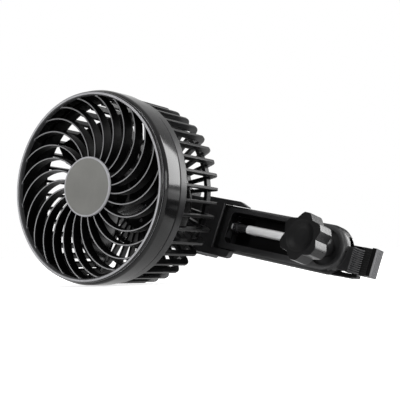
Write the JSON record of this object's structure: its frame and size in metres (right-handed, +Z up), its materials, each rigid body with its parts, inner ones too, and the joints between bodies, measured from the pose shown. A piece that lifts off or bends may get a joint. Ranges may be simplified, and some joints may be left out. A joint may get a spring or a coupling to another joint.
{
  "type": "car headrest fan",
  "caption": "Small caged fan on a two-way swivel and a clamp arm; a sliding hook, locked by a lobed knob, grips a car headrest post.",
  "frame": {"origin": "on the surface it lies on, under the middle of the space it takes up", "axes": "+Z up, the fan blows towards -Y, the arm and its hook point to +X"},
  "size_m": [0.2534, 0.1262, 0.1365],
  "materials": {
    "ring": "glossy dark grey",
    "cage": "semi-gloss dark grey",
    "cap": "fine matt grey",
    "blades": "glossy dark grey",
    "arm": "satin dark grey",
    "knob": "semi-gloss dark grey",
    "pad": "matt",
    "chrome": "polished",
    "steel": "satin",
    "brass": "satin",
    "winding": "lacquered"
  },
  "bodies": {
    "arm": {"arm_bracket": "arm", "arm_front_shell": "arm", "arm_back_shell": "arm", "guide_rod": "chrome", "rod_sleeve": "knob", "rod_nut": "steel", "post_pad": "pad", "shell_screws": "steel", "threaded_insert": "brass", "pan_pin": "steel"},
    "knuckle": {"swivel_knuckle": "knob"},
    "head": {"front_grille": "ring", "hub_cap": "cap", "rear_cage": "cage", "motor_can": "steel", "motor_end_cap": "knob", "motor_screws": "steel", "motor_cover": "cage", "cover_screws": "steel", "cable_grommet": "pad", "tilt_pin": "steel"},
    "rotor": {"impeller": "blades", "motor_shaft": "steel", "motor_armature": "winding"},
    "hook": {"clamp_hook": "arm", "hook_pad": "pad"},
    "knob": {"lock_knob": "knob", "knob_screw": "steel"}
  },
  "joints": [
    {"name": "head_pan", "type": "hinge", "parent": "arm", "child": "knuckle", "pos_m": [-0.05922, 0.03881, 0.06092], "axis": [0.2165, 0.254, 0.9427], "range_deg": [-45, 5]},
    {"name": "head_tilt", "type": "hinge", "parent": "knuckle", "child": "head", "pos_m": [-0.05875, 0.02817, 0.06367], "axis": [0.9753, -0.0135, -0.2204], "range_deg": [-35, 5]},
    {"name": "fan_spin", "type": "hinge", "parent": "head", "child": "rotor", "pos_m": [-0.05875, -0.01774, 0.06648], "axis": [0, 0.9981, -0.061], "continuous": true},
    {"name": "hook_slide", "type": "slide", "parent": "arm", "child": "hook", "axis": [0.9714, -0.1529, -0.1819], "range_m": [-0.002, 0.024]},
    {"name": "knob_turn", "type": "hinge", "parent": "arm", "child": "knob", "pos_m": [0.08686, 0.01362, 0.02216], "axis": [0.098, 0.955, -0.2798], "continuous": true}
  ]
}
